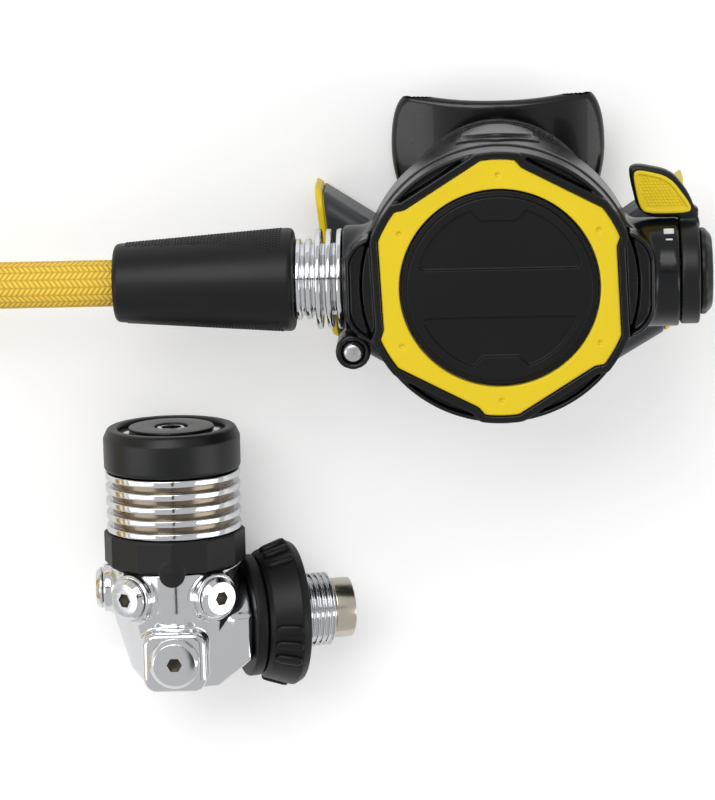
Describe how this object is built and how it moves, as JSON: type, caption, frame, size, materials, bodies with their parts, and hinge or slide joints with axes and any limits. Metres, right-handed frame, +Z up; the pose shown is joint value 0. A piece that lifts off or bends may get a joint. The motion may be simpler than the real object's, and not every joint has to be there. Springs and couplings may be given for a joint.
{
  "type": "scuba regulator set",
  "caption": "Scuba regulator set lying flat: balanced second stage with side lever, knob and mouthpiece on a braided hose, and a diaphragm first stage with a screw-in valve fitting.",
  "frame": {"origin": "middle of the footprint of both stages, on the surface they lie on, without the hose and its fitting", "axes": "+Z up from the surface, +X to the right as pictured, from the hose to the knob, +Y to the top of the picture, towards the mouthpiece"},
  "size_m": [0.4038, 0.2321, 0.0882],
  "materials": {
    "soft_cover": "satin black silicone rubber",
    "yellow_trim": "moulded yellow plastic, light satin gloss",
    "black_shell": "moulded black plastic, soft gloss",
    "silicone": "translucent silicone",
    "steel": "turned stainless steel",
    "brass": "turned brass",
    "black_rubber": "matt black rubber",
    "chrome": "mirror chrome on brass",
    "grey_rubber": "dark grey rubber with a soft sheen",
    "nickel": "warm satin nickel",
    "yellow_braid": "yellow herringbone braid over a flexible hose"
  },
  "bodies": {
    "set_body": {"case": "black_shell", "front_ring": "black_shell", "bezel_ring": "yellow_trim", "diaphragm": "silicone", "exhaust_valve": "silicone", "neck_badge": "black_shell", "locking_pin": "steel", "valve_barrel": "brass", "orifice": "steel", "inlet_oring": "black_rubber", "inlet_coupling": "chrome", "hose_ferrule": "steel", "mouth_spigot": "black_shell", "mouthpiece": "soft_cover", "mouthpiece_strap": "black_shell", "exhaust_tee": "grey_rubber", "tee_trim_left": "yellow_trim", "tee_trim_right": "yellow_trim", "first_stage_body": "chrome", "inlet_plug_front": "chrome", "inlet_plug_rear": "chrome", "lp_plug_1": "chrome", "lp_plug_2": "chrome", "lp_plug_3": "chrome", "lp_plug_4": "chrome", "main_diaphragm": "black_rubber", "spring_barrel": "chrome", "protector_collar": "black_rubber", "cap": "black_shell", "cap_plate": "chrome", "cap_disc": "black_shell", "spring_pad": "brass", "main_spring": "steel", "adjusting_nut": "chrome", "din_washer": "black_rubber", "din_stem": "nickel", "din_nose_oring": "black_rubber", "inlet_filter": "steel", "hose": "yellow_braid", "hose_coil": "yellow_braid", "hose_end_ferrule": "steel", "hose_end_fitting": "chrome", "hose_end_oring": "black_rubber"},
    "cover": {"purge_cover": "soft_cover"},
    "plate": {"diaphragm_plate": "black_shell"},
    "lever": {"demand_lever": "steel"},
    "poppet_set": {"poppet": "black_shell", "poppet_spring": "steel"},
    "flow_lever": {"venturi_lever": "black_shell", "lever_pad": "yellow_trim", "venturi_vane": "black_shell"},
    "knob": {"adjusting_knob": "black_shell", "knob_stem": "steel", "adjusting_screw": "brass"},
    "nut": {"swivel_nut": "chrome"},
    "sleeve": {"hose_sleeve": "black_rubber"},
    "handwheel": {"din_handwheel": "black_rubber", "din_thread_sleeve": "chrome"},
    "inlet_valve": {"inlet_poppet": "steel", "diaphragm_lifter": "brass"}
  },
  "joints": [
    {"name": "purge_press", "type": "slide", "parent": "set_body", "child": "cover", "axis": [0.1786, 0.0436, -0.9829], "range_m": [0, 0.002], "stiffness_N_per_m": 1500},
    {"name": "plate_slide", "type": "slide", "parent": "set_body", "child": "plate", "axis": [0.1786, 0.0436, -0.9829], "range_m": [0, 0.002]},
    {"name": "demand_lever_hinge", "type": "hinge", "parent": "set_body", "child": "lever", "pos_m": [0.03587, 0.04147, 0.07166], "axis": [0.0353, -0.9987, -0.0379], "range_deg": [0, 7]},
    {"name": "poppet_lift", "type": "slide", "parent": "set_body", "child": "poppet_set", "axis": [0.9833, 0.0279, 0.1799], "range_m": [0, 0.0008]},
    {"name": "venturi_lever_hinge", "type": "hinge", "parent": "set_body", "child": "flow_lever", "pos_m": [0.02765, 0.04158, 0.06102], "axis": [0.9833, 0.0279, 0.1799], "range_deg": [-45, 0]},
    {"name": "adjusting_knob_hinge", "type": "hinge", "parent": "set_body", "child": "knob", "pos_m": [0.02765, 0.04158, 0.06102], "axis": [0.9833, 0.0279, 0.1799], "range_deg": [0, 720]},
    {"name": "swivel_nut_spin", "type": "hinge", "parent": "set_body", "child": "nut", "pos_m": [0.02765, 0.04158, 0.06102], "axis": [0.9833, 0.0279, 0.1799], "continuous": true},
    {"name": "hose_sleeve_slide", "type": "slide", "parent": "set_body", "child": "sleeve", "axis": [-0.9833, -0.0279, -0.1799], "range_m": [0, 0.036]},
    {"name": "handwheel_spin", "type": "hinge", "parent": "set_body", "child": "handwheel", "pos_m": [-0.03705, -0.06919, 0.02428], "axis": [0.9913, 0.0185, -0.1305], "continuous": true},
    {"name": "inlet_valve_lift", "type": "slide", "parent": "set_body", "child": "inlet_valve", "axis": [0.0209, -0.9996, 0.0174], "range_m": [0, 0.0008], "stiffness_N_per_m": 800}
  ],
  "couplings": [
    {"joint": "plate_slide", "follows": "purge_press", "ratio": 1},
    {"joint": "demand_lever_hinge", "follows": "purge_press", "rad_per_m": 55.6},
    {"joint": "poppet_lift", "follows": "purge_press", "ratio": 0.35}
  ]
}
